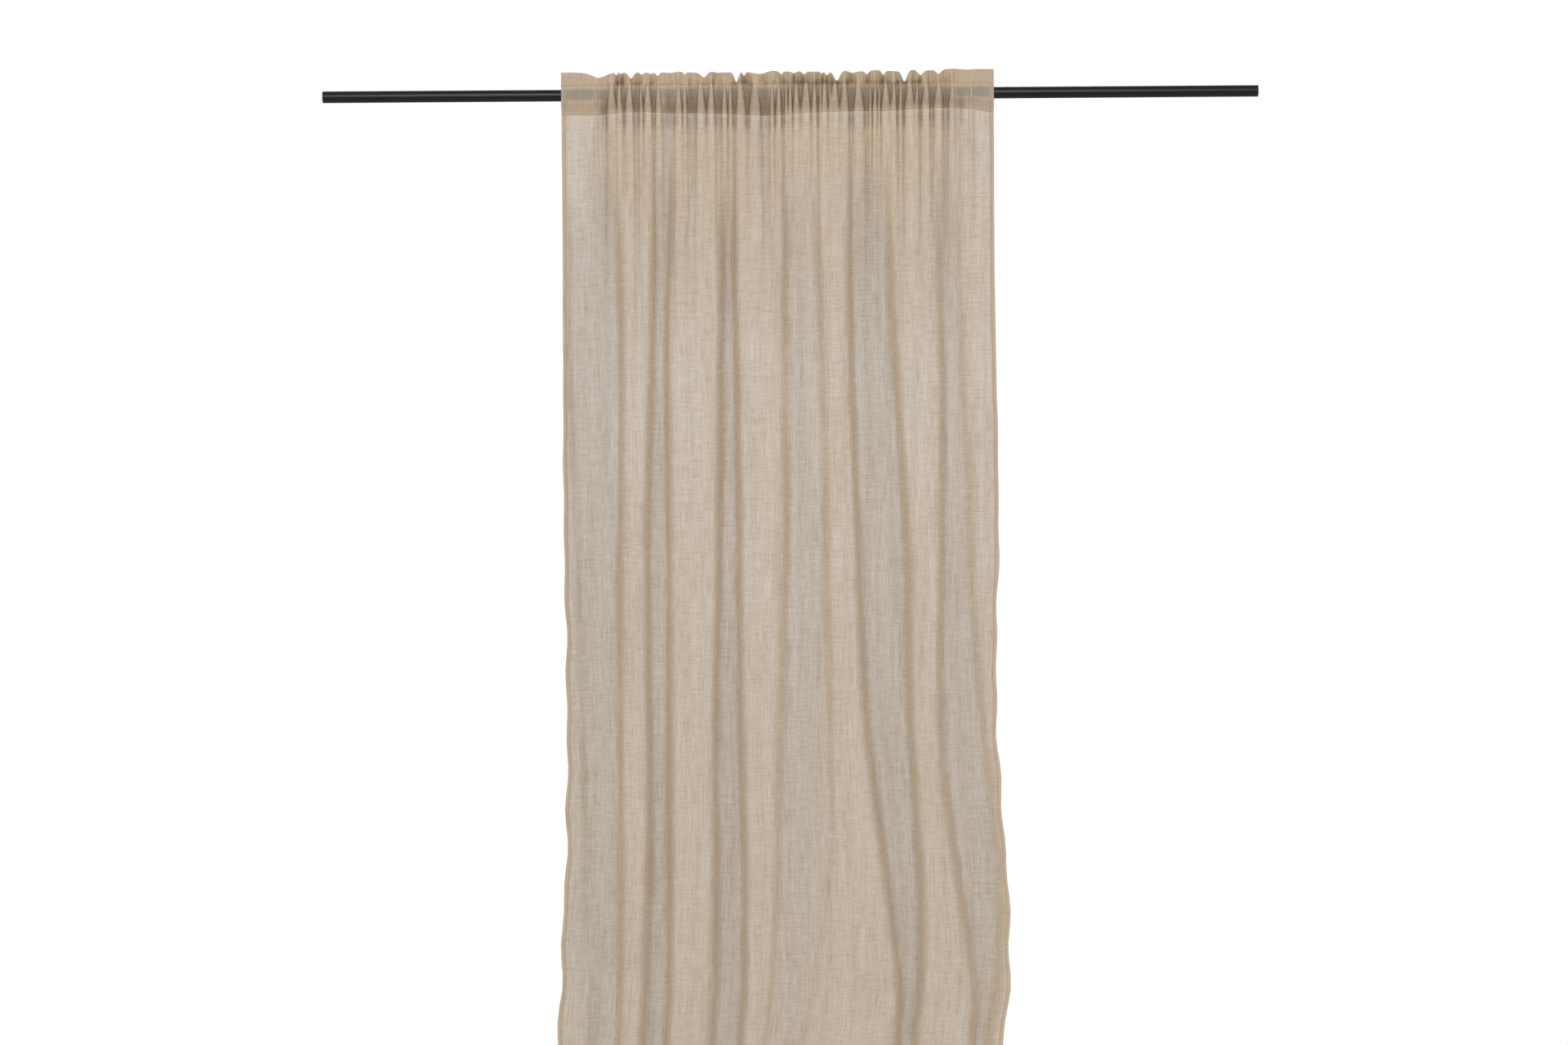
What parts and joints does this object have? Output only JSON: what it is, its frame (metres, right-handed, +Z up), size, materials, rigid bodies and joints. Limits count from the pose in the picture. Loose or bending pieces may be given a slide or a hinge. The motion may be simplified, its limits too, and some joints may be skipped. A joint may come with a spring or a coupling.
{
  "type": "rod-pocket curtain panel",
  "caption": "Sheer linen-look curtain panel gathered on a straight round rod through a sewn rod pocket with a frilled heading; it slides and draws along the rod.",
  "frame": {"origin": "middle of the rod's axis", "axes": "+X along the rod, from the trailing edge of the panel towards the leading edge; +Z up; the room is on the -Y side"},
  "size_m": [1.6, 0.049, 2.4],
  "materials": {
    "rod": "satin-gloss black paint",
    "sheer_cloth": "sheer slubbed plain weave, warm sand",
    "thread": "matt polyester sewing thread, tan",
    "label": "blank satin tape, off-white"
  },
  "bodies": {
    "rod": {"rod_tube": "rod"},
    "trailing_fold": {"heading_fold_01": "sheer_cloth", "drape_fold_01": "sheer_cloth", "bottom_hem_fold_01": "sheer_cloth", "stitching_fold_01": "thread", "left_side_hem": "sheer_cloth", "left_side_stitching": "thread", "care_label": "label"},
    "fold_02": {"heading_fold_02": "sheer_cloth", "drape_fold_02": "sheer_cloth", "bottom_hem_fold_02": "sheer_cloth", "stitching_fold_02": "thread"},
    "fold_03": {"heading_fold_03": "sheer_cloth", "drape_fold_03": "sheer_cloth", "bottom_hem_fold_03": "sheer_cloth", "stitching_fold_03": "thread"},
    "fold_04": {"heading_fold_04": "sheer_cloth", "drape_fold_04": "sheer_cloth", "bottom_hem_fold_04": "sheer_cloth", "stitching_fold_04": "thread"},
    "fold_05": {"heading_fold_05": "sheer_cloth", "drape_fold_05": "sheer_cloth", "bottom_hem_fold_05": "sheer_cloth", "stitching_fold_05": "thread"},
    "fold_06": {"heading_fold_06": "sheer_cloth", "drape_fold_06": "sheer_cloth", "bottom_hem_fold_06": "sheer_cloth", "stitching_fold_06": "thread"},
    "fold_07": {"heading_fold_07": "sheer_cloth", "drape_fold_07": "sheer_cloth", "bottom_hem_fold_07": "sheer_cloth", "stitching_fold_07": "thread"},
    "fold_08": {"heading_fold_08": "sheer_cloth", "drape_fold_08": "sheer_cloth", "bottom_hem_fold_08": "sheer_cloth", "stitching_fold_08": "thread"},
    "fold_09": {"heading_fold_09": "sheer_cloth", "drape_fold_09": "sheer_cloth", "bottom_hem_fold_09": "sheer_cloth", "stitching_fold_09": "thread"},
    "fold_10": {"heading_fold_10": "sheer_cloth", "drape_fold_10": "sheer_cloth", "bottom_hem_fold_10": "sheer_cloth", "stitching_fold_10": "thread"},
    "fold_11": {"heading_fold_11": "sheer_cloth", "drape_fold_11": "sheer_cloth", "bottom_hem_fold_11": "sheer_cloth", "stitching_fold_11": "thread"},
    "leading_fold": {"heading_fold_12": "sheer_cloth", "drape_fold_12": "sheer_cloth", "bottom_hem_fold_12": "sheer_cloth", "stitching_fold_12": "thread", "right_side_hem": "sheer_cloth", "right_side_stitching": "thread"}
  },
  "joints": [
    {"name": "panel_slide", "type": "slide", "parent": "rod", "child": "trailing_fold", "axis": [1, 0, 0], "range_m": [-0.4, 0.44]},
    {"name": "draw", "type": "slide", "parent": "trailing_fold", "child": "leading_fold", "axis": [1, 0, 0], "range_m": [-0.4416, 0]},
    {"name": "fold_02_slide", "type": "slide", "parent": "trailing_fold", "child": "fold_02", "axis": [1, 0, 0], "range_m": [-0.0402, 0]},
    {"name": "fold_03_slide", "type": "slide", "parent": "trailing_fold", "child": "fold_03", "axis": [1, 0, 0], "range_m": [-0.0804, 0]},
    {"name": "fold_04_slide", "type": "slide", "parent": "trailing_fold", "child": "fold_04", "axis": [1, 0, 0], "range_m": [-0.1205, 0]},
    {"name": "fold_05_slide", "type": "slide", "parent": "trailing_fold", "child": "fold_05", "axis": [1, 0, 0], "range_m": [-0.1607, 0]},
    {"name": "fold_06_slide", "type": "slide", "parent": "trailing_fold", "child": "fold_06", "axis": [1, 0, 0], "range_m": [-0.2008, 0]},
    {"name": "fold_07_slide", "type": "slide", "parent": "trailing_fold", "child": "fold_07", "axis": [1, 0, 0], "range_m": [-0.241, 0]},
    {"name": "fold_08_slide", "type": "slide", "parent": "trailing_fold", "child": "fold_08", "axis": [1, 0, 0], "range_m": [-0.2811, 0]},
    {"name": "fold_09_slide", "type": "slide", "parent": "trailing_fold", "child": "fold_09", "axis": [1, 0, 0], "range_m": [-0.3213, 0]},
    {"name": "fold_10_slide", "type": "slide", "parent": "trailing_fold", "child": "fold_10", "axis": [1, 0, 0], "range_m": [-0.3614, 0]},
    {"name": "fold_11_slide", "type": "slide", "parent": "trailing_fold", "child": "fold_11", "axis": [1, 0, 0], "range_m": [-0.4016, 0]}
  ],
  "couplings": [
    {"joint": "fold_02_slide", "follows": "draw", "ratio": 0.090909},
    {"joint": "fold_03_slide", "follows": "draw", "ratio": 0.18182},
    {"joint": "fold_04_slide", "follows": "draw", "ratio": 0.27273},
    {"joint": "fold_05_slide", "follows": "draw", "ratio": 0.36364},
    {"joint": "fold_06_slide", "follows": "draw", "ratio": 0.45454},
    {"joint": "fold_07_slide", "follows": "draw", "ratio": 0.54546},
    {"joint": "fold_08_slide", "follows": "draw", "ratio": 0.63636},
    {"joint": "fold_09_slide", "follows": "draw", "ratio": 0.72727},
    {"joint": "fold_10_slide", "follows": "draw", "ratio": 0.81818},
    {"joint": "fold_11_slide", "follows": "draw", "ratio": 0.90909}
  ]
}
